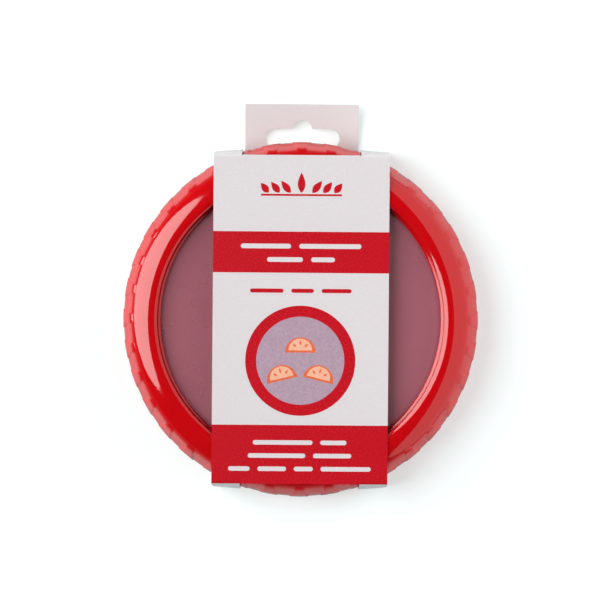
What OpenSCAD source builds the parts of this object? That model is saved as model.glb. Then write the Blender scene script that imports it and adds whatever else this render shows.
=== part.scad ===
// Produce saver pod: two red rims with stretched films that push together, in a card sleeve.
// Millimetres, +Z up. The origin is on the pod's axis, on the underside of the back card.

/* [Rims] */
// Outer diameter over the grip pads
pod_d = 150; // [130:1:180]
// Height of each rim, from the parting plane to its crest
rim_h = 12; // [11:0.5:15]
// Radius of the outer dome of the rim's section
dome_r = 12.25; // [11:0.05:12.5]
// Radius of the inner round of the rim's section
inner_round = 4.2; // [3.4:0.1:4.5]
// How far the inner wall stands in from the crest
inner_reach = 2.45; // [2:0.05:3]
// Depth cut from the crest to leave a narrow flat to rest on
crest_cut = 0.05; // [0.05:0.05:0.15]
// Wall thickness of the rims
rim_wall = 2; // [1.4:0.1:2.4]
// Gap between the two rims at the parting plane
parting_gap = 0.2; // [0.1:0.05:0.4]

/* [Film seat] */
// How far the lip reaches inward over the film's edge
lip_w = 1.3; // [0.6:0.1:1.7]
// Depth of the lip's top below the crest
lip_drop = 3.4; // [3.2:0.1:5]
// Thickness of the lip
lip_t = 1.2; // [1:0.1:1.6]
// Radius of the round over the lip's top
lip_round = 2.2; // [2:0.1:3]
// How far outside the inner wall the lip's round has its top
lip_lead = 0.3; // [0.1:0.1:0.6]
// Thickness of the stretched film
film_t = 0.8; // [0.5:0.1:1.2]
// Width of the film's edge bead
bead_w = 1.7; // [1.2:0.1:2.5]
// Height of the film's edge bead
bead_h = 2; // [1.6:0.1:2.4]
// Clearance of the bead and the clamp ring in the seat
seat_clear = 0.1; // [0.05:0.05:0.2]

/* [Clamp rings] */
// Width of the wall that presses on the bead
clamp_wall = 1.7; // [1.2:0.1:2.5]
// Thickness of the foot flange
clamp_foot_t = 0.8; // [0.6:0.1:1.2]
// How far the foot flange reaches inward of its wall
clamp_foot_in = 1.2; // [0.6:0.1:2]
// Distance from the foot flange to the parting plane
clamp_gap = 0.5; // [0.3:0.1:0.8]

/* [Grip pads] */
// Number of raised pads round each rim
pad_n = 36; // [24:1:40]
// Slope of a pad's face at its inner end, where it leaves the dome, in degrees
pad_slope = 31; // [24:1:33]
// How far a pad stands out at the rim's outer edge
pad_out = 0.2; // [0.1:0.05:0.4]
// Radial length of a pad, seen from above
pad_len = 4.8; // [3:0.1:5.5]
// Width of a pad at its inner end
pad_inner_w = 3.2; // [2.5:0.1:5]
// Width of a pad where its outer end starts to flare
pad_mid_w = 5.2; // [4:0.1:6]
// Radial length of the flared outer end, seen from above
pad_flare = 1.9; // [1.2:0.1:2.4]
// Width of a pad at the outer edge
pad_outer_w = 8.4; // [6:0.1:9.5]
// Depth by which a pad is rooted in the dome
pad_root = 0.6; // [0.4:0.1:1]

/* [Closure] */
// Radial gap between the spigot's outer face and the rim's inner wall at the parting plane
spigot_inset = 1.1; // [0.9:0.1:1.6]
// Wall thickness of the spigot
spigot_t = 2; // [1.2:0.1:2.5]
// Height of the spigot above the parting plane
spigot_rise = 4; // [3.2:0.1:4.2]
// Height of the seal ring
seal_h = 1.9; // [1.4:0.1:2]
// Depth of the seal's groove in the upper rim's wall
seal_groove = 0.6; // [0.4:0.1:0.8]
// Height of the groove's lower side above the parting plane
seal_z = 0.8; // [0.6:0.1:1]
// Clearance round the seal ring
seal_clear = 0.1; // [0.05:0.01:0.12]

/* [Sleeve] */
// Thickness of the card
card_t = 0.5; // [0.3:0.05:0.8]
// Width of the sleeve
sleeve_w = 73.5; // [65:0.5:90]
// How far the front folds stand in from the straight part of the strips
strip_lean = 2.6; // [1:0.1:4]
// Height above the parting plane at which the strips start to lean in
strip_knee = 3; // [1.5:0.5:5]
// Clearance between the card panels and the crests of the rims
card_clear = 0.1; // [0.05:0.05:0.3]
// Clearance between the strips and the rims
strip_clear = 0.6; // [0.4:0.1:1]
// Gap at the tear line between the strips and the back card
tear_gap = 0.2; // [0.1:0.05:0.3]

/* [Hang tab] */
// Width of the hang tab
tab_w = 48.6; // [42:0.2:54]
// Clearance of the tab in the slot that it is cut from, on each side
tab_clear = 0.7; // [0.4:0.1:1.2]
// Length of the hang tab beyond the back fold
tab_len = 20.4; // [18:0.1:24]
// Upward tilt of the hang tab, in degrees
tab_tilt = 11; // [0:1:14]
// Width of the hanging slot
hang_w = 32; // [28:0.5:36]
// Height of the hanging slot
hang_h = 8.5; // [7:0.1:9]
// Diameter of the bump at the middle of the slot
hang_bump_d = 8.6; // [6:0.1:10]
// Height of the bump above the slot's top edge
hang_bump_rise = 3.9; // [3:0.1:5]
// Distance from the tab's end to the top of the bump
hang_margin = 6.6; // [5:0.1:8]

/* [Hidden] */
$fn = 120;

// Radii of the rims, from the pod's axis
pod_r = pod_d / 2;
rim_r = pod_r - pad_out;
crest_r = rim_r - dome_r;
inner_r = crest_r - inner_reach;
lip_r = inner_r - lip_w;
seat_r = inner_r + rim_wall;
skirt_r = seat_r + rim_wall;
pad_in_r = pod_r - pad_len;

// Heights in a rim, above the parting plane
edge_z = parting_gap / 2;
dome_z = rim_h + crest_cut - dome_r;
round_z = rim_h + crest_cut - inner_round;
lip_top_z = rim_h - lip_drop;
lip_z = lip_top_z - lip_t;
shoulder_z = lip_z + rim_wall;
bead_z = lip_z - bead_h;
film_z = lip_z - film_t;
skirt_z = edge_z + clamp_gap + clamp_foot_t;

// Curve of the pads' faces, which leaves the dome at the pads' inner ends
pad_curve_r = pad_len / (1 - sin(pad_slope));
pad_curve_mid = pod_r - pad_curve_r;
pad_tip_z = dome_z + sqrt(pow(dome_r, 2) - pow(pad_in_r - crest_r, 2));
pad_curve_z = pad_tip_z - pad_curve_r * cos(pad_slope);

// Closure
spigot_r = rim_r - rim_wall - spigot_inset;
groove_r = rim_r - rim_wall + seal_groove;
groove_h = seal_h + 2 * seal_clear;

// Sleeve, with the parting plane of the pod at mid_z
mid_z = card_t + card_clear + rim_h;
front_z = mid_z + rim_h + card_clear;
slot_w = tab_w + 2 * tab_clear;
strip_w = (sleeve_w - slot_w) / 2;
strip_y = sqrt(pod_r * pod_r - slot_w * slot_w / 4) + strip_clear;
fold_y = strip_y - strip_lean;
back_y = strip_y + card_t;
hang_y = tab_len - hang_margin - hang_bump_rise - hang_h / 2;
hang_bump_y = tab_len - hang_margin - hang_bump_d / 2;

// Allowance by which cutters run past the faces that they cut
over = 1;

// A rectangle between two radii and two heights of a revolved section
module section_box(r0, r1, z0, z1) {
    translate([r0, z0]) square([r1 - r0, z1 - z0]);
}

// The section between a round and the square corner outside it, to the right of or left of its centre
module corner_waste(r0, r1, z0, z1, cr, cz, radius) {
    difference() {
        section_box(r0, r1, z0, z1);
        translate([cr, cz]) circle(radius);
    }
}

// Outline of a rim's section: a dome outside and a tight round inside, with a narrow flat crest
module rim_outline() {
    difference() {
        section_box(inner_r, rim_r, edge_z, rim_h);
        corner_waste(crest_r, rim_r + over, dome_z, rim_h + over, crest_r, dome_z, dome_r);
        corner_waste(inner_r - over, crest_r, round_z, rim_h + over, crest_r, round_z, inner_round);
    }
}

// Hollow under the dome, open at the parting plane
module rim_hollow() {
    hollow_r = dome_r - rim_wall;
    hollow_top = rim_h + crest_cut - rim_wall;
    difference() {
        section_box(skirt_r, rim_r - rim_wall, edge_z - over, hollow_top);
        corner_waste(skirt_r - over, rim_r + over, dome_z, hollow_top + over, crest_r, dome_z, hollow_r);
    }
    difference() {
        section_box(seat_r, skirt_r + rim_wall, shoulder_z, hollow_top);
        corner_waste(crest_r, skirt_r + rim_wall + over, dome_z, hollow_top + over, crest_r, dome_z, hollow_r);
        corner_waste(seat_r - over, crest_r, round_z, hollow_top + over, crest_r, round_z,
                     inner_round - rim_wall);
    }
}

// Lip over the film's edge, with a rounded top
module lip_section() {
    difference() {
        section_box(lip_r, inner_r + rim_wall, lip_z, lip_top_z);
        corner_waste(lip_r - over, inner_r + lip_lead, lip_top_z - lip_round, lip_top_z + over,
                     inner_r + lip_lead, lip_top_z - lip_round, lip_round);
    }
}

// Section that both rims share: shell, lip over the film's edge, and the seat below the lip
module rim_section() {
    difference() {
        union() {
            rim_outline();
            lip_section();
        }
        rim_hollow();
        section_box(lip_r - over, seat_r, edge_z - over, lip_z);
        section_box(seat_r - over, skirt_r, edge_z - over, skirt_z);
    }
}

// Spigot wall, rooted in the dome and rising past the parting plane of a rim drawn crest up
module spigot_section() {
    intersection() {
        section_box(spigot_r - spigot_t, spigot_r, -spigot_rise, rim_h);
        union() {
            rim_outline();
            section_box(inner_r, spigot_r, -spigot_rise, rim_h / 2);
        }
    }
}

// Groove in the upper rim's wall for the seal ring
module groove_section() {
    section_box(spigot_r, groove_r, seal_z, seal_z + groove_h);
}

// Ring between the root of the pads in the dome and the curve of their faces
module pad_band() {
    rotate_extrude() difference() {
        section_box(pad_in_r - over, pod_r, edge_z, rim_h);
        corner_waste(pad_in_r - 2 * over, pod_r + over, pad_curve_z, rim_h + over, pad_curve_mid, pad_curve_z,
                     pad_curve_r);
        translate([crest_r, dome_z]) circle(dome_r - pad_root);
        section_box(pad_in_r - 2 * over, rim_r - pad_root, edge_z - over, dome_z);
    }
}

// Outline of a pad seen from above: it widens outward, and more so at its flared outer end
module pad_wedge() {
    growth = (pad_mid_w - pad_inner_w) / (2 * (pad_len - pad_flare));
    flare = (pad_outer_w - pad_mid_w) / (2 * pad_flare);
    inner_half = pad_inner_w / 2 - 2 * over * growth;
    outer_half = pad_outer_w / 2 + over * flare;
    linear_extrude(rim_h) polygon([
        [pad_in_r - 2 * over, -inner_half],
        [pod_r - pad_flare, -pad_mid_w / 2],
        [pod_r + over, -outer_half],
        [pod_r + over, outer_half],
        [pod_r - pad_flare, pad_mid_w / 2],
        [pad_in_r - 2 * over, inner_half]
    ]);
}

// All the grip pads of one rim
module grip_pads() {
    intersection() {
        pad_band();
        for (i = [0 : pad_n - 1]) rotate(i * 360 / pad_n) pad_wedge();
    }
}

// Places what is drawn crest up above the parting plane in the upper half of the pod
module in_lid() {
    translate([0, 0, mid_z]) children();
}

// Places what is drawn crest up in the lower half of the pod, crest down
module in_base() {
    translate([0, 0, mid_z]) mirror([0, 0, 1]) children();
}

// Film with its edge bead, drawn in a half that is crest up
module film() {
    rotate_extrude() {
        section_box(0, seat_r - seat_clear - bead_w / 2, film_z, film_z + film_t);
        section_box(seat_r - seat_clear - bead_w, seat_r - seat_clear, bead_z, lip_z);
    }
}

// Clamp ring that presses on the film's bead and covers the end of the seat's skirt
module clamp() {
    wall_r = seat_r - seat_clear;
    rotate_extrude() {
        section_box(wall_r - clamp_wall, wall_r, skirt_z - clamp_foot_t, bead_z);
        section_box(wall_r - clamp_wall - clamp_foot_in, skirt_r, skirt_z - clamp_foot_t, skirt_z);
    }
}

module base_rim() {
    color("firebrick") in_base() {
        rotate_extrude() {
            rim_section();
            spigot_section();
        }
        grip_pads();
    }
}

module base_clamp_ring() {
    color("brown") in_base() clamp();
}

module base_membrane() {
    color("rosybrown") in_base() film();
}

module lid_rim() {
    color("firebrick") in_lid() {
        rotate_extrude() difference() {
            rim_section();
            groove_section();
        }
        grip_pads();
    }
}

module lid_clamp_ring() {
    color("brown") in_lid() clamp();
}

module lid_membrane() {
    color("rosybrown") in_lid() film();
}

module seal_ring() {
    color("whitesmoke") in_lid() rotate_extrude()
        section_box(spigot_r + seal_clear, groove_r - seal_clear, seal_z + seal_clear,
                    seal_z + seal_clear + seal_h);
}

// One end strip of the front card, leaning out from the fold to the knee and then straight down
module end_strip() {
    rotate([90, 0, 90]) linear_extrude(strip_w) polygon([
        [fold_y, front_z + card_t],
        [fold_y - card_t, front_z + card_t],
        [fold_y - card_t, front_z],
        [strip_y, mid_z + strip_knee],
        [strip_y, card_t + tear_gap],
        [strip_y + card_t, card_t + tear_gap],
        [strip_y + card_t, mid_z + strip_knee]
    ]);
}

module sleeve_front() {
    color("gainsboro") {
        translate([-sleeve_w / 2, -fold_y, front_z]) cube([sleeve_w, 2 * fold_y, card_t]);
        for (side = [0, 1], end = [0, 1]) mirror([side, 0, 0]) mirror([0, end, 0])
            translate([slot_w / 2, 0, 0]) end_strip();
    }
}

// Hanging slot with round ends and a bump at the middle of its top edge
module hang_slot() {
    end_r = hang_h / 2;
    reach = hang_w / 2 - end_r;
    translate([0, hang_y, -over]) {
        translate([-reach, -end_r, 0]) cube([2 * reach, hang_h, card_t + 2 * over]);
        for (x = [-reach, reach]) translate([x, 0, 0]) cylinder(r = end_r, h = card_t + 2 * over);
    }
    translate([0, hang_bump_y, -over]) cylinder(d = hang_bump_d, h = card_t + 2 * over);
}

module sleeve_back() {
    color("gainsboro") {
        translate([-sleeve_w / 2, -back_y, 0]) cube([sleeve_w, 2 * back_y, card_t]);
        translate([0, back_y, card_t * sin(tab_tilt)]) rotate([tab_tilt, 0, 0]) difference() {
            translate([-tab_w / 2, -card_t, 0]) cube([tab_w, tab_len + card_t, card_t]);
            hang_slot();
        }
    }
}

base_rim();
base_clamp_ring();
base_membrane();
lid_rim();
lid_clamp_ring();
lid_membrane();
seal_ring();
sleeve_front();
sleeve_back();
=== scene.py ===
"""Looks of the produce saver pod: rims with soft-edged grip pads, films, rings and a card sleeve.

Sections of the round pieces are in millimetres: radius from the axis, height from the parting plane.
"""
import math

import bmesh
import bpy
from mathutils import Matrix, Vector


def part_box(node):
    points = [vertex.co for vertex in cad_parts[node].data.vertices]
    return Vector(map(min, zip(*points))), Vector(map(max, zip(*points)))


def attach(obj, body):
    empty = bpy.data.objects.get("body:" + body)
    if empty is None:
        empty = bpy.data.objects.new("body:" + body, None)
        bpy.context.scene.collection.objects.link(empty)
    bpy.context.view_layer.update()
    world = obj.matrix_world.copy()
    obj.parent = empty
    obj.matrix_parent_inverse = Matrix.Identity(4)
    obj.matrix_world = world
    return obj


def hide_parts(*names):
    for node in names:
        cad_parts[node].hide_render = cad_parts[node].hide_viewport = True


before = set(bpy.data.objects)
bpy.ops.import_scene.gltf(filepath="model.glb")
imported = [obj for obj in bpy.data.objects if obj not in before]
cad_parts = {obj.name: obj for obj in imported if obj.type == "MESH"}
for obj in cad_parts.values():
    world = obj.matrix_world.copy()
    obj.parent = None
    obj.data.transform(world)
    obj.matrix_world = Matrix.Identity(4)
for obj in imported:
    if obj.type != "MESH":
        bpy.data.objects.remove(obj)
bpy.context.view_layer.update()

MM = 0.001

# Rims
POD_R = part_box("lid_rim")[1].x / MM
CREST_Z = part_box("lid_rim")[1].z / MM
MID_Z = (CREST_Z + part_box("base_rim")[0].z / MM) / 2
RIM_H = CREST_Z - MID_Z
EDGE_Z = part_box("lid_rim")[0].z / MM - MID_Z
WALL = 2.0
DOME_R = 12.25
ROUND_R = 4.2
INNER_REACH = 2.45
PAD_OUT = 0.2
RIM_R = POD_R - PAD_OUT
CREST_R = RIM_R - DOME_R
DOME_Z = RIM_H - DOME_R
ROUND_Z = RIM_H - ROUND_R
INNER_R = CREST_R - INNER_REACH
SEAT_R = INNER_R + WALL
SKIRT_R = SEAT_R + WALL

# Grip pads
PADS = 36
PAD_LEN = 4.8
PAD_IN_R = POD_R - PAD_LEN
PAD_FLARE = 1.9
PAD_INNER_W = 3.2
PAD_MID_W = 5.2
PAD_OUTER_W = 8.4
PAD_SOFT = 0.4
PAD_SLOPE = math.radians(31.0)
PAD_CURVE_R = PAD_LEN / (1.0 - math.sin(PAD_SLOPE))
PAD_CURVE_MID = POD_R - PAD_CURVE_R
PAD_TIP_Z = DOME_Z + math.sqrt(DOME_R ** 2 - (PAD_IN_R - CREST_R) ** 2)
PAD_CURVE_Z = PAD_TIP_Z - PAD_CURVE_R * math.cos(PAD_SLOPE)
PAD_TIP = math.degrees(math.acos((PAD_IN_R - CREST_R) / DOME_R))

# Film seat, clamp rings and closure
LIP_W = 1.3
LIP_ROUND = 2.2
LIP_LEAD = 0.3
LIP_DROP = 3.4
LIP_T = 1.2
LIP_TOP_Z = RIM_H - LIP_DROP
LIP_Z = LIP_TOP_Z - LIP_T
SHOULDER_Z = LIP_Z + WALL
FILM_T = 0.8
FILM_EDGE = 4.0
BEAD_W = 1.7
BEAD_H = 2.0
SEAT_CLEAR = 0.1
CLAMP_W = 1.7
FOOT_T = 0.8
FOOT_IN = 1.2
FOOT_RISE = 0.5
SKIRT_Z = EDGE_Z + FOOT_RISE + FOOT_T
SPIGOT_GAP = 1.1
SPIGOT_R = RIM_R - WALL - SPIGOT_GAP
SPIGOT_T = 2.0
SPIGOT_RISE = 4.0
GROOVE_DEPTH = 0.6
GROOVE_R = RIM_R - WALL + GROOVE_DEPTH
GROOVE_Z = 0.8
SEAL_H = 1.9
SEAL_CLEAR = 0.1

# Corners of the sections are softened by these radii
SOFT = 0.25
CRISP = 0.1
ROOT_SOFT = 0.2
FILLET = 0.3
STEP_SOFT = 0.4
BLUNT = 0.5
SOFT_STEPS = 4
MOST_OF_EDGE = 0.45

# Arcs of the sections, in degrees: their steps, and the room they leave for softened corners
CREST = 90.0
DOME_STEP = 2.0
ROUND_STEP = 3.0
LIP_STEP = 4.0
HOLLOW_STEP = 4.0
TIGHT_STEP = 6.0
ROUND_ROOM = 5.0
HOLLOW_ROOM = 2.0
SPIGOT_ROOM = 3.0

# Fineness of the round meshes: rows at the pads' inner ends, and columns across a pad's pitch
FINE_ROWS = 3
FINE_STEP = 0.4
PAD_COLUMNS = (2, 4, 3, 4, 2)
ROUND_COLUMNS = 288
SHARP_ANGLE = math.radians(38.0)
SAME_PLACE = 1e-5

# Card sleeve
CARD_T = 0.5
SLEEVE_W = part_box("sleeve_front")[1].x * 2 / MM
CARD_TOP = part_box("sleeve_front")[1].z / MM
INK_ROOM = 0.03
CARD_MID_Z = CARD_TOP - INK_ROOM - CARD_T / 2
SLOT_W = 50.0
STRIP_W = (SLEEVE_W - SLOT_W) / 2
STRIP_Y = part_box("sleeve_front")[1].y / MM - CARD_T
STRIP_LEAN = 2.6
FOLD_Y = STRIP_Y - STRIP_LEAN
KNEE_RISE = 3.0
KNEE_Z = MID_Z + KNEE_RISE
STRIP_END_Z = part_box("sleeve_front")[0].z / MM
STRIP_TWIST = 1.1
STRIP_START = 4.0
FOLD_SOFT = 0.7
KNEE_SOFT = 5.0
FOLD_STEPS = 8
STRIP_COLUMNS = 6
UP = Vector((0.0, 0.0, 1.0))

# Printed bands, from the panel's middle along it
BAND_LOW = 19.5
BAND_HIGH = 36.7
FOOT_BAND_HIGH = -44.1

# Scales of the materials' noise, in cycles per metre, and the part of its range that is used
PLASTIC_FLOW = 45.0
PLASTIC_SHEEN = 140.0
PLASTIC_SKIN = 700.0
SILICONE_FLOW = 28.0
SILICONE_SHEEN = 90.0
SILICONE_SKIN = 35.0
CARD_MOTTLE = 900.0
CARD_SHEEN = 1800.0
CARD_FIBRE = 1500.0
FIBRE_STRETCH = (1.0, 0.35, 1.0)
FLOOR_FLOW = 3.0
NOISE_LOW = 0.3
NOISE_HIGH = 0.7

# Strengths of the materials' relief, and its depths in metres
PLASTIC_DEPTH = 0.0002
SILICONE_GRAIN = 0.05
SILICONE_DEPTH = 0.001
CARD_GRAIN = 0.025
CARD_DEPTH = 0.0001

# Refraction, printed finish and colours
PLASTIC_IOR = 1.66
SILICONE_IOR = 1.41
CARD_IOR = 1.45
PRINT_GLOSS = 0.26
PRINT_HAZE = 0.28
WHITE_LOW = (0.7, 0.66, 0.675)
WHITE_HIGH = (0.71, 0.67, 0.685)
INK_LOW = (0.515, 0.005, 0.013)
INK_HIGH = (0.535, 0.006, 0.015)


def material(name):
    """A new node material, with its tree and its principled shader."""
    made = bpy.data.materials.new(name)
    made.use_nodes = True
    return made, made.node_tree, made.node_tree.nodes["Principled BSDF"]


def add(tree, kind, **settings):
    """A new node of that kind, with those settings."""
    node = tree.nodes.new(kind)
    for key, value in settings.items():
        setattr(node, key, value)
    return node


def noise(tree, scale, detail=3.0, stretch=(1.0, 1.0, 1.0)):
    """Noise over the object's own coordinates, in cycles per metre."""
    place = add(tree, "ShaderNodeTexCoord")
    mapping = add(tree, "ShaderNodeMapping")
    mapping.inputs["Scale"].default_value = stretch
    made = add(tree, "ShaderNodeTexNoise")
    made.inputs["Scale"].default_value = scale
    made.inputs["Detail"].default_value = detail
    tree.links.new(place.outputs["Object"], mapping.inputs["Vector"])
    tree.links.new(mapping.outputs["Vector"], made.inputs["Vector"])
    return made.outputs["Fac"]


def ramp(tree, value, low, high, start=NOISE_LOW, end=NOISE_HIGH):
    """Colour that runs from low to high while the value goes from start to end."""
    made = add(tree, "ShaderNodeValToRGB")
    made.color_ramp.elements[0].position = start
    made.color_ramp.elements[0].color = (*low, 1.0)
    made.color_ramp.elements[1].position = end
    made.color_ramp.elements[1].color = (*high, 1.0)
    tree.links.new(value, made.inputs["Fac"])
    return made.outputs["Color"]


def ranged(tree, value, low, high, start=NOISE_LOW, end=NOISE_HIGH):
    """Number that runs from low to high while the value goes from start to end."""
    made = add(tree, "ShaderNodeMapRange")
    made.inputs["From Min"].default_value = start
    made.inputs["From Max"].default_value = end
    made.inputs["To Min"].default_value = low
    made.inputs["To Max"].default_value = high
    tree.links.new(value, made.inputs["Value"])
    return made.outputs["Result"]


def compare(tree, value, operation, limit):
    """1 where the value is above or below the limit, as the operation says, and 0 elsewhere."""
    made = add(tree, "ShaderNodeMath", operation=operation)
    made.inputs[1].default_value = limit
    tree.links.new(value, made.inputs[0])
    return made.outputs["Value"]


def combine(tree, operation, a, b):
    """Two numbers worked into one."""
    made = add(tree, "ShaderNodeMath", operation=operation)
    tree.links.new(a, made.inputs[0])
    tree.links.new(b, made.inputs[1])
    return made.outputs["Value"]


def within(tree, value, low, high):
    """1 where the value lies between two limits, and 0 elsewhere."""
    above = compare(tree, value, "GREATER_THAN", low)
    return combine(tree, "MULTIPLY", above, compare(tree, value, "LESS_THAN", high))


def roughen(tree, shader, height, strength, distance):
    """Fine relief of the surface, with its depth in metres."""
    made = add(tree, "ShaderNodeBump")
    made.inputs["Strength"].default_value = strength
    made.inputs["Distance"].default_value = distance
    tree.links.new(height, made.inputs["Height"])
    tree.links.new(made.outputs["Normal"], shader.inputs["Normal"])


def plastic(name, low, high, gloss, haze, grain):
    """Moulded plastic: slight colour flow, uneven gloss, and a fine skin."""
    made, tree, shader = material(name)
    shader.inputs["IOR"].default_value = PLASTIC_IOR
    tree.links.new(ramp(tree, noise(tree, PLASTIC_FLOW), low, high), shader.inputs["Base Color"])
    tree.links.new(ranged(tree, noise(tree, PLASTIC_SHEEN), gloss, haze), shader.inputs["Roughness"])
    roughen(tree, shader, noise(tree, PLASTIC_SKIN, detail=2.0), grain, PLASTIC_DEPTH)
    return made


def silicone(name, low, high, alpha, gloss, haze):
    """Silicone rubber, see-through where alpha is under 1, with cloudy flow marks."""
    made, tree, shader = material(name)
    shader.inputs["IOR"].default_value = SILICONE_IOR
    shader.inputs["Alpha"].default_value = alpha
    clouds = noise(tree, SILICONE_FLOW, detail=4.0)
    tree.links.new(ramp(tree, clouds, low, high), shader.inputs["Base Color"])
    tree.links.new(ranged(tree, noise(tree, SILICONE_SHEEN), gloss, haze), shader.inputs["Roughness"])
    roughen(tree, shader, noise(tree, SILICONE_SKIN, detail=2.0), SILICONE_GRAIN, SILICONE_DEPTH)
    return made


def coated(tree, shader, gloss, haze):
    """Finish of coated card: uneven gloss over fine fibres that run along the sheet."""
    shader.inputs["IOR"].default_value = CARD_IOR
    tree.links.new(ranged(tree, noise(tree, CARD_SHEEN), gloss, haze), shader.inputs["Roughness"])
    fibres = noise(tree, CARD_FIBRE, detail=2.0, stretch=FIBRE_STRETCH)
    roughen(tree, shader, fibres, CARD_GRAIN, CARD_DEPTH)


def card(name, low, high, gloss=PRINT_GLOSS, haze=PRINT_HAZE):
    """Card in one colour with a faint mottle."""
    made, tree, shader = material(name)
    mottle = noise(tree, CARD_MOTTLE, detail=5.0)
    tree.links.new(ramp(tree, mottle, low, high), shader.inputs["Base Color"])
    coated(tree, shader, gloss, haze)
    return made


def printed_card():
    """White coated card with two printed red bands across it."""
    made, tree, shader = material("printed_card")
    place = add(tree, "ShaderNodeTexCoord")
    split = add(tree, "ShaderNodeSeparateXYZ")
    tree.links.new(place.outputs["Object"], split.inputs["Vector"])
    along = split.outputs["Y"]
    band = within(tree, along, BAND_LOW * MM, BAND_HIGH * MM)
    foot = within(tree, along, -FOLD_Y * MM, FOOT_BAND_HIGH * MM)
    mottle = noise(tree, CARD_MOTTLE, detail=5.0)
    mix = add(tree, "ShaderNodeMix", data_type="RGBA")
    tree.links.new(combine(tree, "MAXIMUM", band, foot), mix.inputs["Factor"])
    tree.links.new(ramp(tree, mottle, WHITE_LOW, WHITE_HIGH), mix.inputs["A"])
    tree.links.new(ramp(tree, mottle, INK_LOW, INK_HIGH), mix.inputs["B"])
    tree.links.new(mix.outputs["Result"], shader.inputs["Base Color"])
    coated(tree, shader, PRINT_GLOSS, PRINT_HAZE)
    return made


red_gloss = plastic("red_gloss", (0.54, 0.0015, 0.004), (0.565, 0.002, 0.005),
                    gloss=0.05, haze=0.08, grain=0.02)
red_satin = plastic("red_satin", (0.4, 0.002, 0.005), (0.45, 0.003, 0.006),
                    gloss=0.32, haze=0.42, grain=0.12)
film_mauve = silicone("film_mauve", (0.5, 0.15, 0.2), (0.54, 0.165, 0.22),
                      alpha=0.55, gloss=0.12, haze=0.22)
seal_white = silicone("seal_white", (0.68, 0.67, 0.64), (0.78, 0.77, 0.74),
                      alpha=1.0, gloss=0.4, haze=0.5)
board = card("board", (0.66, 0.63, 0.6), (0.74, 0.71, 0.69), gloss=0.7, haze=0.85)
tab_card = card("tab_card", (0.69, 0.65, 0.655), (0.71, 0.67, 0.675), gloss=0.4, haze=0.52)
ink_red = card("ink_red", INK_LOW, INK_HIGH)
ink_white = card("ink_white", WHITE_LOW, WHITE_HIGH)
ink_mauve = card("ink_mauve", (0.4, 0.28, 0.36), (0.47, 0.34, 0.42))
ink_orange = card("ink_orange", (0.72, 0.12, 0.045), (0.8, 0.17, 0.07))
ink_peach = card("ink_peach", (0.84, 0.42, 0.27), (0.9, 0.5, 0.35))


def blend_step(value):
    """Smooth step from 0 to 1."""
    t = min(max(value, 0.0), 1.0)
    return t * t * (3.0 - 2.0 * t)


def between(low, high, count):
    """Evenly spaced numbers from low up to, but not including, high."""
    return [low + (high - low) * i / count for i in range(count)]


def arc(cr, cz, radius, start, end, step):
    """Corners of an arc in a section, from one angle to another in degrees."""
    count = max(2, round(abs(end - start) / step))
    angles = [math.radians(start + (end - start) * i / count) for i in range(count + 1)]
    return [(cr + radius * math.cos(a), cz + radius * math.sin(a), 0.0) for a in angles]


def rounded(before, corner, after, radius, steps):
    """A corner of a section as a short curve."""
    here = Vector(corner[:2])
    back = Vector(before[:2]) - here
    on = Vector(after[:2]) - here
    reach = min(radius, MOST_OF_EDGE * back.length, MOST_OF_EDGE * on.length)
    a = here + back.normalized() * reach
    b = here + on.normalized() * reach
    ts = [i / steps for i in range(steps + 1)]
    return [a * (1 - t) ** 2 + here * 2 * t * (1 - t) + b * t ** 2 for t in ts]


def soften(corners, closed=True, steps=SOFT_STEPS):
    """Points of a section whose corners (r, z, softness) are rounded."""
    points = []
    for i, corner in enumerate(corners):
        inside = closed or 0 < i < len(corners) - 1
        if corner[2] and inside:
            after = corners[(i + 1) % len(corners)]
            points += rounded(corners[i - 1], corner, after, corner[2], steps)
        else:
            points.append(Vector(corner[:2]))
    return points


def build(name, bm, *materials):
    """A smooth-shaded object from a bmesh in millimetres."""
    bmesh.ops.remove_doubles(bm, verts=bm.verts, dist=SAME_PLACE)
    bmesh.ops.recalc_face_normals(bm, faces=bm.faces)
    bmesh.ops.scale(bm, vec=(MM, MM, MM), verts=bm.verts)
    mesh = bpy.data.meshes.new(name)
    bm.to_mesh(mesh)
    bm.free()
    mesh.polygons.foreach_set("use_smooth", [True] * len(mesh.polygons))
    mesh.set_sharp_from_angle(angle=SHARP_ANGLE)
    for finish in materials:
        mesh.materials.append(finish)
    made = bpy.data.objects.new(name, mesh)
    bpy.context.scene.collection.objects.link(made)
    return made


def belongs(piece, node, body):
    """The piece stands for a CAD node, whose part it hides, and moves with its body."""
    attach(piece, body)
    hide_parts(node)
    return piece


def ring(name, rows, finish):
    """A closed ring from rows of points, each row running once round the axis."""
    bm = bmesh.new()
    verts = [[bm.verts.new(p) for p in row] for row in rows]
    count = len(rows[0])
    for i, row in enumerate(verts):
        after = verts[(i + 1) % len(verts)]
        for j in range(count):
            k = (j + 1) % count
            bm.faces.new((row[j], row[k], after[k], after[j]))
    return build(name, bm, finish)


def placed(r, z, angle, side):
    """Point of a half that is drawn crest up: side is 1 in the upper half and -1 in the lower half."""
    return Vector((r * math.cos(angle), r * math.sin(angle), MID_Z + side * z))


def turned(name, corners, side, finish):
    """A plain turned piece with softened edges."""
    angles = between(0.0, 2 * math.pi, ROUND_COLUMNS)
    rows = [[placed(p.x, p.y, a, side) for a in angles] for p in soften(corners)]
    return ring(name, rows, finish)


def pad_width(r):
    """Width of a pad at a radius: it widens outward, and more so at its flared outer end."""
    out = max(r - PAD_IN_R, 0.0)
    plain = PAD_LEN - PAD_FLARE
    if out < plain:
        return PAD_INNER_W + (PAD_MID_W - PAD_INNER_W) * out / plain
    return PAD_MID_W + (PAD_OUTER_W - PAD_MID_W) * (out - plain) / PAD_FLARE


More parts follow.
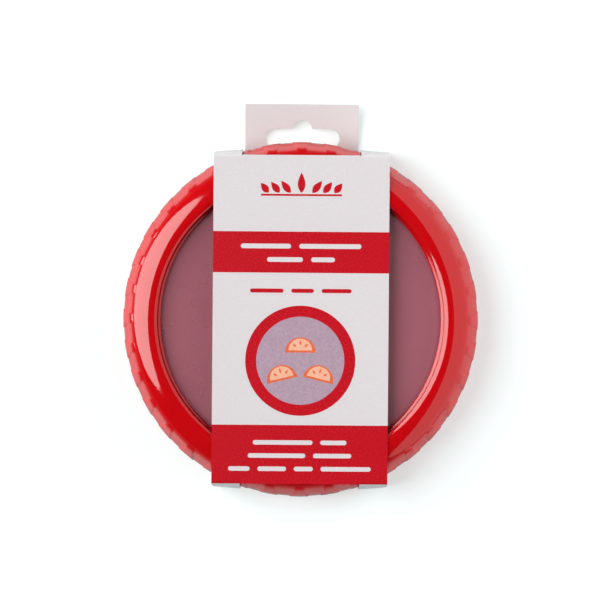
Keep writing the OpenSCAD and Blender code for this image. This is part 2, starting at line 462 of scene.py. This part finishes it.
def pad_columns(r):
    """Angles across one pitch of the pads at a radius, each with how far the pad is raised there."""
    half = pad_width(r) / 2 / r
    soft = PAD_SOFT / r
    half_pitch = math.pi / PADS
    ends = [-half_pitch, -half - soft, soft - half, half - soft, half + soft, half_pitch]
    angles = []
    for low, high, count in zip(ends, ends[1:], PAD_COLUMNS):
        angles += between(low, high, count)
    return [(a, blend_step((half + soft - abs(a)) / (2 * soft))) for a in angles]


def pad_lift(angle):
    """How far a pad's face stands off the dome, at an angle above the dome's centre."""
    way = Vector((math.cos(angle), math.sin(angle)))
    shift = Vector((PAD_CURVE_MID - CREST_R, PAD_CURVE_Z - DOME_Z))
    along = way.dot(shift)
    reach = along + math.sqrt(along ** 2 - shift.length_squared + PAD_CURVE_R ** 2)
    if DOME_Z + reach * way.y < PAD_CURVE_Z:
        reach = (POD_R - CREST_R) / way.x
    return way * max(reach - DOME_R, 0.0)


def rim_row(point, side, lift=(0.0, 0.0)):
    """One row round a rim: a point of the section, moved by the lift where a pad is."""
    r, z = point
    row = []
    for i in range(PADS):
        turn = i * 2 * math.pi / PADS
        for a, raised in pad_columns(r):
            row.append(placed(r + lift[0] * raised, z + lift[1] * raised, a + turn, side))
    return row


def dome_angles():
    """Angles of the dome's rows in degrees, from its edge to the crest, close at the pads' inner ends."""
    low = math.degrees(math.asin((EDGE_Z + 2 * SOFT - DOME_Z) / DOME_R))
    fine = [PAD_TIP + FINE_STEP * i for i in range(-FINE_ROWS, FINE_ROWS + 1)]
    clear = FINE_STEP * (FINE_ROWS + 1)
    plain = [a for a in between(low, CREST, round(CREST / DOME_STEP)) if abs(a - PAD_TIP) > clear]
    return sorted(plain + fine + [CREST])


def dome_rows(side):
    """Rows of the outer dome with its pads, from the parting edge up to the crest."""
    corners = [(RIM_R - WALL / 2, EDGE_Z, 0.0), (RIM_R, EDGE_Z, SOFT), (RIM_R, EDGE_Z + WALL / 2, 0.0)]
    edge = soften(corners, closed=False)
    rows = [rim_row(p, side, (PAD_OUT, 0.0)) for p in edge[1:-1]]
    for degrees in dome_angles():
        a = math.radians(degrees)
        lift = pad_lift(a) if degrees < PAD_TIP else (0.0, 0.0)
        point = (CREST_R + DOME_R * math.cos(a), DOME_Z + DOME_R * math.sin(a))
        rows.append(rim_row(point, side, lift))
    return rows


def inside_corners():
    """Corners of a rim's section, from the crest inward round the lip and the seat to the hollow."""
    end = 180.0 - math.degrees(math.acos(INNER_REACH / ROUND_R))
    top = ROUND_Z + math.sqrt(ROUND_R ** 2 - INNER_REACH ** 2)
    corners = arc(CREST_R, ROUND_Z, ROUND_R, CREST + ROUND_STEP, end - ROUND_ROOM, ROUND_STEP)
    corners += [(INNER_R, top, STEP_SOFT)]
    low = 180.0 - math.degrees(math.acos((LIP_W + LIP_LEAD) / LIP_ROUND))
    high = 180.0 - math.degrees(math.acos(LIP_LEAD / LIP_ROUND))
    corners += arc(INNER_R + LIP_LEAD, LIP_TOP_Z - LIP_ROUND, LIP_ROUND, high, low - LIP_STEP, LIP_STEP)
    edge = LIP_TOP_Z - LIP_ROUND * (1.0 - math.sin(math.radians(low)))
    corners += [(INNER_R - LIP_W, edge, SOFT), (INNER_R - LIP_W, LIP_Z, CRISP)]
    corners += [(SEAT_R, LIP_Z, CRISP), (SEAT_R, SKIRT_Z, CRISP), (SKIRT_R, SKIRT_Z, SOFT)]
    corners += [(SKIRT_R, SHOULDER_Z, SOFT), (SEAT_R, SHOULDER_Z, CRISP)]
    start = math.degrees(math.acos((SEAT_R - CREST_R) / (ROUND_R - WALL)))
    return corners + arc(CREST_R, ROUND_Z, ROUND_R - WALL, start, CREST, TIGHT_STEP)


def hollow_arc(start, end):
    """Corners along the dome's inner face, from one angle to another in degrees."""
    return arc(CREST_R, DOME_Z, DOME_R - WALL, start, end, HOLLOW_STEP)


def hollow_angle(r):
    """Angle on the dome's inner face, in degrees, at a radius from the axis."""
    return math.degrees(math.acos((r - CREST_R) / (DOME_R - WALL)))


def hollow_height(r):
    """Height of the dome's inner face at a radius from the axis."""
    return DOME_Z + math.sqrt((DOME_R - WALL) ** 2 - (r - CREST_R) ** 2)


def parting_edge():
    """Corners of a rim's edge at the parting plane, from its inner face to the middle of its wall."""
    return [(RIM_R - WALL, EDGE_Z, SOFT), (RIM_R - WALL / 2, EDGE_Z, 0.0)]


def lid_hollow():
    """Inner face of the upper dome, down to the parting plane, with the seal's groove."""
    top = GROOVE_Z + SEAL_H + 2 * SEAL_CLEAR
    end = math.degrees(math.asin((top - DOME_Z) / (DOME_R - WALL)))
    corners = hollow_arc(CREST - HOLLOW_ROOM, end)
    corners += [(GROOVE_R, top, CRISP), (GROOVE_R, GROOVE_Z, CRISP), (RIM_R - WALL, GROOVE_Z, CRISP)]
    return corners + parting_edge()


def base_hollow():
    """Inner face of the lower dome, with the spigot that stands up past the parting plane."""
    root = SPIGOT_R - SPIGOT_T
    corners = hollow_arc(CREST - HOLLOW_ROOM, hollow_angle(root) + HOLLOW_ROOM)
    corners += [(root, hollow_height(root), FILLET), (root, -SPIGOT_RISE, BLUNT)]
    corners += [(SPIGOT_R, -SPIGOT_RISE, BLUNT), (SPIGOT_R, hollow_height(SPIGOT_R), ROOT_SOFT)]
    low = math.degrees(math.asin((EDGE_Z + 2 * SOFT - DOME_Z) / (DOME_R - WALL)))
    corners += hollow_arc(hollow_angle(SPIGOT_R) - SPIGOT_ROOM, low)
    return corners + parting_edge()


def rim(name, node, body, side, hollow):
    """A rim: the padded dome outside, and the rest of the section inside."""
    section = soften(inside_corners() + hollow, closed=False)
    rows = dome_rows(side) + [rim_row(p, side) for p in section]
    return belongs(ring(name, rows, red_gloss), node, body)


def membrane(name, node, body, side):
    """A stretched film with its thick edge bead."""
    out = SEAT_R - SEAT_CLEAR
    flat = out - BEAD_W - FILM_EDGE
    low = LIP_Z - BEAD_H
    under = LIP_Z - FILM_T
    corners = [(0.0, under, 0.0), (flat, under, 0.0), (out - BEAD_W, under, FILLET)]
    corners += [(out - BEAD_W, low, SOFT), (out, low, SOFT), (out, LIP_Z, SOFT)]
    corners += [(flat, LIP_Z, 0.0), (0.0, LIP_Z, 0.0)]
    return belongs(turned(name, corners, side, film_mauve), node, body)


def clamp_ring(name, node, body, side):
    """The ring that presses on the film's bead, with its foot flange."""
    out = SEAT_R - SEAT_CLEAR
    inner = out - CLAMP_W
    low = SKIRT_Z - FOOT_T
    top = LIP_Z - BEAD_H
    corners = [(inner - FOOT_IN, low, SOFT), (SKIRT_R, low, SOFT), (SKIRT_R, SKIRT_Z, SOFT)]
    corners += [(out, SKIRT_Z, CRISP), (out, top, SOFT), (inner, top, SOFT), (inner, SKIRT_Z, FILLET)]
    corners += [(inner - FOOT_IN, SKIRT_Z, SOFT)]
    return belongs(turned(name, corners, side, red_satin), node, body)


def seal():
    """The silicone ring in the upper rim's groove."""
    low = GROOVE_Z + SEAL_CLEAR
    top = low + SEAL_H
    inner = SPIGOT_R + SEAL_CLEAR
    outer = GROOVE_R - SEAL_CLEAR
    corners = [(inner, low, BLUNT), (outer, low, FILLET), (outer, top, FILLET), (inner, top, BLUNT)]
    return belongs(turned("seal_lip", corners, 1, seal_white), "seal_ring", "seal")


def strip_path(hand, out, end):
    """Middle of the card along an end strip, from the panel over the fold and the knee to the tear line.

    Hand and end say which strip it is, and out goes from 0 beside the slot to 1 at the sleeve's edge."""
    foot_y = STRIP_Y + CARD_T / 2
    corners = [(FOLD_Y - STRIP_START, CARD_MID_Z, 0.0), (FOLD_Y - CARD_T / 2, CARD_MID_Z, FOLD_SOFT)]
    corners += [(foot_y - STRIP_TWIST * out, KNEE_Z, KNEE_SOFT), (foot_y, STRIP_END_Z, 0.0)]
    x = hand * (SLOT_W / 2 + STRIP_W * out)
    return [Vector((x, end * p.x, p.y)) for p in soften(corners, closed=False, steps=FOLD_STEPS)]


def path_sides(path, end):
    """Outward direction of the card at each point of a strip's path."""
    sides = []
    for i in range(len(path)):
        along = path[min(i + 1, len(path) - 1)] - path[max(i - 1, 0)]
        sides.append(Vector((0.0, -along.z * end, abs(along.y))).normalized())
    return sides


def strip_points(hand, end):
    """Points of one end strip by end, hand, column and row, each with its outward direction."""
    made = {}
    for i, out in enumerate(between(0.0, 1.0, STRIP_COLUMNS) + [1.0]):
        path = strip_path(hand, out, end)
        for j, point in enumerate(zip(path, path_sides(path, end))):
            made[end, hand, i, j] = point
    return made


def strip_faces(hand, end, rows):
    """Faces of one end strip, wound so that they face outward."""
    made = []
    for i in range(STRIP_COLUMNS):
        for j in range(rows - 1):
            around = ((i, j), (i + 1, j), (i + 1, j + 1), (i, j + 1))
            corners = [(end, hand, column, row) for column, row in around]
            made.append(corners if hand * end < 0 else corners[::-1])
    return made


def lip_face(end):
    """Face of the panel's free edge between the two strips at one end."""
    corners = [(end, -1, 0, 0), (end, 1, 0, 0), (end, 1, "lip"), (end, -1, "lip")]
    return corners if end > 0 else corners[::-1]


def panel_faces():
    """Faces of the flat panel: a row of them from strip to strip at each side, and one between."""
    made = []
    for hand in (-1, 1):
        for i in range(STRIP_COLUMNS):
            corners = [(-1, hand, i, 0), (-1, hand, i + 1, 0), (1, hand, i + 1, 0), (1, hand, i, 0)]
            made.append(corners if hand > 0 else corners[::-1])
    return made + [[(-1, -1, 0, 0), (-1, 1, 0, 0), (1, 1, 0, 0), (1, -1, 0, 0)]]


def card_grid(points, faces):
    """A card from its middle points with their outward directions, and its faces: printed outside only."""
    bm = bmesh.new()
    outer = {k: bm.verts.new(p + s * CARD_T / 2) for k, (p, s) in points.items()}
    inner = {k: bm.verts.new(p - s * CARD_T / 2) for k, (p, s) in points.items()}
    used = {}
    for face in faces:
        bm.faces.new([outer[k] for k in face])
        bm.faces.new([inner[k] for k in reversed(face)]).material_index = 1
        for a, b in zip(face, face[1:] + face[:1]):
            used.setdefault(frozenset((a, b)), []).append((a, b))
    for ways in used.values():
        if len(ways) == 1:
            a, b = ways[0]
            bm.faces.new((outer[b], outer[a], inner[a], inner[b])).material_index = 1
    return bm


def front_card():
    """The front panel with its four bent end strips, in one sheet of card."""
    points, faces = {}, []
    for end in (-1, 1):
        for hand in (-1, 1):
            strip = strip_points(hand, end)
            points.update(strip)
            faces += strip_faces(hand, end, len(strip) // (STRIP_COLUMNS + 1))
        for hand in (-1, 1):
            points[end, hand, "lip"] = (Vector((hand * SLOT_W / 2, end * FOLD_Y, CARD_MID_Z)), UP)
        faces.append(lip_face(end))
    piece = build("front_card", card_grid(points, faces + panel_faces()), printed_card(), board)
    return belongs(piece, "sleeve_front", "card_front")


rim("lid_rim_shell", "lid_rim", "lid", 1, lid_hollow())
rim("base_rim_shell", "base_rim", "base", -1, base_hollow())
membrane("lid_film", "lid_membrane", "lid", 1)
membrane("base_film", "base_membrane", "base", -1)
clamp_ring("lid_clamp", "lid_clamp_ring", "lid", 1)
clamp_ring("base_clamp", "base_clamp_ring", "base", -1)
seal()
front_card()

back_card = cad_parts["sleeve_back"]
back_card.data.materials.clear()
back_card.data.materials.append(tab_card)

# Print on the front panel, in millimetres about the panel's middle
INK_LAYERS = 5
INK_T = INK_ROOM / INK_LAYERS
ROUNDEL_Y = -17.2
ROUNDEL_R = 23.0
GROUND_R = ROUNDEL_R * 0.8
ROUNDEL_POINTS = 96

# Slices on the roundel: their places from its middle with their turns in degrees, and their seeds
SLICES = ((0.0, 3.4, 0.0), (-7.4, -8.2, 14.0), (7.4, -8.2, -14.0))
SLICE_R = 6.4
SLICE_PEEL = 0.9
SLICE_SHRINK = 1.6
SLICE_POINTS = 40
SEED_ANGLES = (40.0, 90.0, 140.0)
SEED_REACH = 2.3
SEED_LEN = 1.9
SEED_W = 0.9

# Sprig of leaves, with three at each side of the middle one
SPRIG_Y = 52.0
SPRIG_PITCH = 4.6
SIDE_LEAVES = 3
STEM_LEN = 34.0
STEM_T = 0.8
LEAF_RISE = 0.9
LEAF_LEN = 7.0
LEAF_TAPER = 0.6
LEAF_W = 2.9
LEAF_LEAN = 38.0
LEAF_BELLY = 0.8
LEAF_POINTS = 20
MID_LEAF_LEN = 8.6
MID_LEAF_W = 3.2

# Rows of bars: each row's height on the panel, and the lengths of its bars
UPPER_ROWS = ((30.6, (21.0, 26.0)), (25.0, (15.0, 10.0)))
MIDDLE_ROWS = ((12.0, (14.0, 9.5, 12.5)),)
LOWER_ROWS = ((-51.4, (25.0, 11.0)), (-56.9, (24.0, 16.0)), (-62.4, (9.0, 12.0, 8.0, 21.0)))
BAR_END_POINTS = 8


def turned_points(points, cx, cy, angle):
    """Points turned by an angle in degrees and moved to a place on the panel."""
    c, s = math.cos(math.radians(angle)), math.sin(math.radians(angle))
    return [(cx + x * c - y * s, cy + x * s + y * c) for x, y in points]


def disc(cx, cy, radius, start=0.0, end=360.0, count=ROUNDEL_POINTS):
    """Outline of a disc, or of a part of one, in degrees."""
    angles = [math.radians(a) for a in between(start, end, count)]
    if end - start < 360.0:
        angles.append(math.radians(end))
    return [(cx + radius * math.cos(a), cy + radius * math.sin(a)) for a in angles]


def bar(cx, cy, length, height):
    """Outline of a bar with round ends."""
    reach = (length - height) / 2
    right = disc(cx + reach, cy, height / 2, -90.0, 90.0, BAR_END_POINTS)
    return right + disc(cx - reach, cy, height / 2, 90.0, 270.0, BAR_END_POINTS)


def bar_rows(rows, height, gap):
    """Bars of one height in centred rows."""
    bars = []
    for cy, lengths in rows:
        x = -(sum(lengths) + gap * (len(lengths) - 1)) / 2
        for length in lengths:
            bars.append(bar(x + length / 2, cy, length, height))
            x += length + gap
    return bars


def leaf(cx, cy, length, width, angle):
    """Outline of a pointed leaf that grows from a point."""
    ts = between(0.0, 1.0, LEAF_POINTS)
    upper = [(length * t, width / 2 * math.sin(math.pi * t ** LEAF_BELLY)) for t in ts]
    lower = [(length * (1 - t), -width / 2 * math.sin(math.pi * (1 - t) ** LEAF_BELLY)) for t in ts]
    return turned_points(upper + lower, cx, cy, angle)


def sprig():
    """A row of leaves on a level stem, the outer ones shorter and leaning out."""
    root_y = SPRIG_Y + LEAF_RISE
    made = []
    for i in range(1, SIDE_LEAVES + 1):
        for side in (-1, 1):
            lean = 90.0 - side * LEAF_LEAN
            made.append(leaf(side * SPRIG_PITCH * i, root_y, LEAF_LEN - LEAF_TAPER * i, LEAF_W, lean))
    made.append(leaf(0.0, root_y, MID_LEAF_LEN, MID_LEAF_W, 90.0))
    return made + [bar(0.0, SPRIG_Y, STEM_LEN, STEM_T)]


def half_moon(place, inset):
    """A half-moon slice on the roundel, smaller by an inset all round."""
    x, y, angle = place
    half = disc(0.0, inset, SLICE_R - SLICE_SHRINK * inset, 0.0, 180.0, SLICE_POINTS)
    return turned_points(half, x, ROUNDEL_Y + y, angle)


def seeds(place):
    """Seeds that fan out in a slice."""
    x, y, angle = place
    made = []
    for a in SEED_ANGLES:
        root_x, root_y = turned_points([(SEED_REACH, 0.0)], 0.0, SLICE_PEEL, a)[0]
        seed = leaf(root_x, root_y, SEED_LEN, SEED_W, a)
        made.append(turned_points(seed, x, ROUNDEL_Y + y, angle))
    return made


def ink(name, layer, outlines, finish):
    """A layer of ink: flat shapes a hair thick on the front panel."""
    bm = bmesh.new()
    low = CARD_TOP - INK_ROOM + INK_T * (layer - 1)
    for outline in outlines:
        face = bm.faces.new([bm.verts.new((x, y, low)) for x, y in outline])
        risen = bmesh.ops.extrude_face_region(bm, geom=[face])["geom"]
        verts = [v for v in risen if isinstance(v, bmesh.types.BMVert)]
        bmesh.ops.translate(bm, vec=(0, 0, INK_T), verts=verts)
    piece = build(name, bm, finish)
    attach(piece, "card_front")
    return piece


roundel = disc(0.0, ROUNDEL_Y, ROUNDEL_R)
upper_bars = bar_rows(UPPER_ROWS, height=2.0, gap=3.4)
middle_bars = bar_rows(MIDDLE_ROWS, height=1.7, gap=3.2)
lower_bars = bar_rows(LOWER_ROWS, height=1.9, gap=3.2)

ink("print_red", 1, sprig() + middle_bars + [roundel], ink_red)
ink("print_white", 1, upper_bars + lower_bars, ink_white)
ink("print_ground", 2, [disc(0.0, ROUNDEL_Y, GROUND_R)], ink_mauve)
ink("print_peel", 3, [half_moon(s, 0.0) for s in SLICES], ink_orange)
ink("print_flesh", 4, [half_moon(s, SLICE_PEEL) for s in SLICES], ink_peach)
ink("print_seeds", 5, [seed for s in SLICES for seed in seeds(s)], ink_orange)

# Camera: straight down, with the object a little off square
CAMERA_PLACE = (-0.0003, 0.00816, 0.9125)
CAMERA_TURN = math.radians(0.45)
LENS_MM = 127.5
SENSOR_MM = 36.0

camera = bpy.data.objects.new("camera", bpy.data.cameras.new("camera"))
camera.data.lens = LENS_MM
camera.data.sensor_width = SENSOR_MM
camera.location = CAMERA_PLACE
camera.rotation_euler = (0.0, 0.0, CAMERA_TURN)
bpy.context.scene.collection.objects.link(camera)
bpy.context.scene.camera = camera

# Places of the lamps and what they face, in metres, and the light of the surroundings
OBJECT = (0.0, 0.0, 0.0)
KEY_PLACE = (-1.192, 0.232, 1.753)
KEY_TARGET = (0.0, 0.0, 1.54)
FILL_PLACE = (0.71, 0.2, 0.235)
FILL_TARGET = (0.494, 0.2, -0.216)
SIDE_PLACE = (0.9, 0.1, 0.26)
LEFT_PLACE = (-0.8, 0.55, 0.25)
LEVEL_LIGHT = (0.5, 0.5, 0.5)
OVERHEAD_LIGHT = (0.02, 0.02, 0.02)
OVERHEAD_FROM = 0.3


def softbox(name, place, target, width, height, power, mirrored=True, shape="RECTANGLE"):
    """A soft lamp that faces a point, and that gloss shows unless it isn't mirrored."""
    lamp = bpy.data.lights.new(name, "AREA")
    lamp.shape = shape
    lamp.size = width
    lamp.size_y = height
    lamp.energy = power
    made = bpy.data.objects.new(name, lamp)
    made.location = place
    made.rotation_euler = (Vector(target) - Vector(place)).to_track_quat("-Z", "Y").to_euler()
    made.visible_camera = False
    made.visible_glossy = mirrored
    bpy.context.scene.collection.objects.link(made)


softbox("key", KEY_PLACE, KEY_TARGET, width=1.9, height=2.95, power=62.0, shape="ELLIPSE")
softbox("fill", FILL_PLACE, FILL_TARGET, width=2.1, height=1.1, power=4.4, shape="ELLIPSE")
softbox("side", SIDE_PLACE, OBJECT, width=1.6, height=0.5, power=6.2, mirrored=False)
softbox("left", LEFT_PLACE, OBJECT, width=1.6, height=0.5, power=4.5, mirrored=False)


def studio():
    """Surroundings that are pale at the floor's level and dark overhead, and white to the camera."""
    made = bpy.data.worlds.new("studio")
    made.use_nodes = True
    tree = made.node_tree
    place = add(tree, "ShaderNodeTexCoord")
    split = add(tree, "ShaderNodeSeparateXYZ")
    tree.links.new(place.outputs["Generated"], split.inputs["Vector"])
    sky = ramp(tree, split.outputs["Z"], LEVEL_LIGHT, OVERHEAD_LIGHT, 0.0, OVERHEAD_FROM)
    tree.links.new(sky, tree.nodes["Background"].inputs["Color"])
    white = add(tree, "ShaderNodeBackground")
    white.inputs["Color"].default_value = (1.0, 1.0, 1.0, 1.0)
    seen = add(tree, "ShaderNodeLightPath")
    mix = add(tree, "ShaderNodeMixShader")
    tree.links.new(seen.outputs["Is Camera Ray"], mix.inputs["Fac"])
    tree.links.new(tree.nodes["Background"].outputs["Background"], mix.inputs[1])
    tree.links.new(white.outputs["Background"], mix.inputs[2])
    tree.links.new(mix.outputs["Shader"], tree.nodes["World Output"].inputs["Surface"])
    return made


bpy.context.scene.world = studio()
bpy.context.scene.view_settings.view_transform = "Standard"

# Floor, in metres from the object's middle
FLOOR_HALF = 3.0
FLOOR_LOW = (0.565, 0.64, 0.637)
FLOOR_HIGH = (0.585, 0.66, 0.657)
FLOOR_ROUGHNESS = 0.8
NEAR_WHITE = 0.43
WHITE_FROM = 0.3
WHITE_TO = 0.7
# Painted shade in the floor's reflection: the white that gloss sees fades out close to the object and dims
# on the shadow's side
MIRROR_FROM = 0.08
MIRROR_TO = 0.12
KEYWARD = (-0.8, 0.6, 0.0)
SHADOW_MIRROR = 0.35
SHADOW_FROM = 0.03
SHADOW_TO = -0.06


def floor_mirror_painted_shade(tree, place, distance):
    """How white gloss shows the floor, with painted shade in it: dimmer on the shadow's side as a painted
    shadow, and none at all close to the object as a painted contact shadow.
    """
    keyward = add(tree, "ShaderNodeVectorMath", operation="DOT_PRODUCT")
    keyward.inputs[1].default_value = KEYWARD
    tree.links.new(place, keyward.inputs[0])
    painted_side_shade = ranged(tree, keyward.outputs["Value"], SHADOW_MIRROR, 1.0, SHADOW_TO, SHADOW_FROM)
    painted_contact_shade = ranged(tree, distance, 0.0, 1.0, MIRROR_FROM, MIRROR_TO)
    return combine(tree, "MULTIPLY", painted_contact_shade, painted_side_shade)


def floor_material():
    """Pale matt floor that the camera sees as white where no shadow falls, and all white farther off."""
    made, tree, shader = material("floor")
    mottle = ramp(tree, noise(tree, FLOOR_FLOW), FLOOR_LOW, FLOOR_HIGH)
    tree.links.new(mottle, shader.inputs["Base Color"])
    shader.inputs["Roughness"].default_value = FLOOR_ROUGHNESS
    shader.inputs["Emission Color"].default_value = (1.0, 1.0, 1.0, 1.0)
    place = add(tree, "ShaderNodeTexCoord").outputs["Object"]
    length = add(tree, "ShaderNodeVectorMath", operation="LENGTH")
    tree.links.new(place, length.inputs[0])
    distance = length.outputs["Value"]
    white = ranged(tree, distance, NEAR_WHITE, 1.0, WHITE_FROM, WHITE_TO)
    seen = add(tree, "ShaderNodeLightPath")
    direct = combine(tree, "MULTIPLY", seen.outputs["Is Camera Ray"], white)
    # The white that gloss sees carries painted shade: none near the object, and less on the shadow's side
    mirror_with_painted_shade = floor_mirror_painted_shade(tree, place, distance)
    mirrored = combine(tree, "MULTIPLY", seen.outputs["Is Glossy Ray"], mirror_with_painted_shade)
    tree.links.new(combine(tree, "ADD", direct, mirrored), shader.inputs["Emission Strength"])
    return made


def floor():
    """A flat floor under the object."""
    bm = bmesh.new()
    reach = FLOOR_HALF / MM
    corners = ((-reach, -reach), (reach, -reach), (reach, reach), (-reach, reach))
    bm.faces.new([bm.verts.new((x, y, 0.0)) for x, y in corners])
    build("floor", bm, floor_material())


floor()
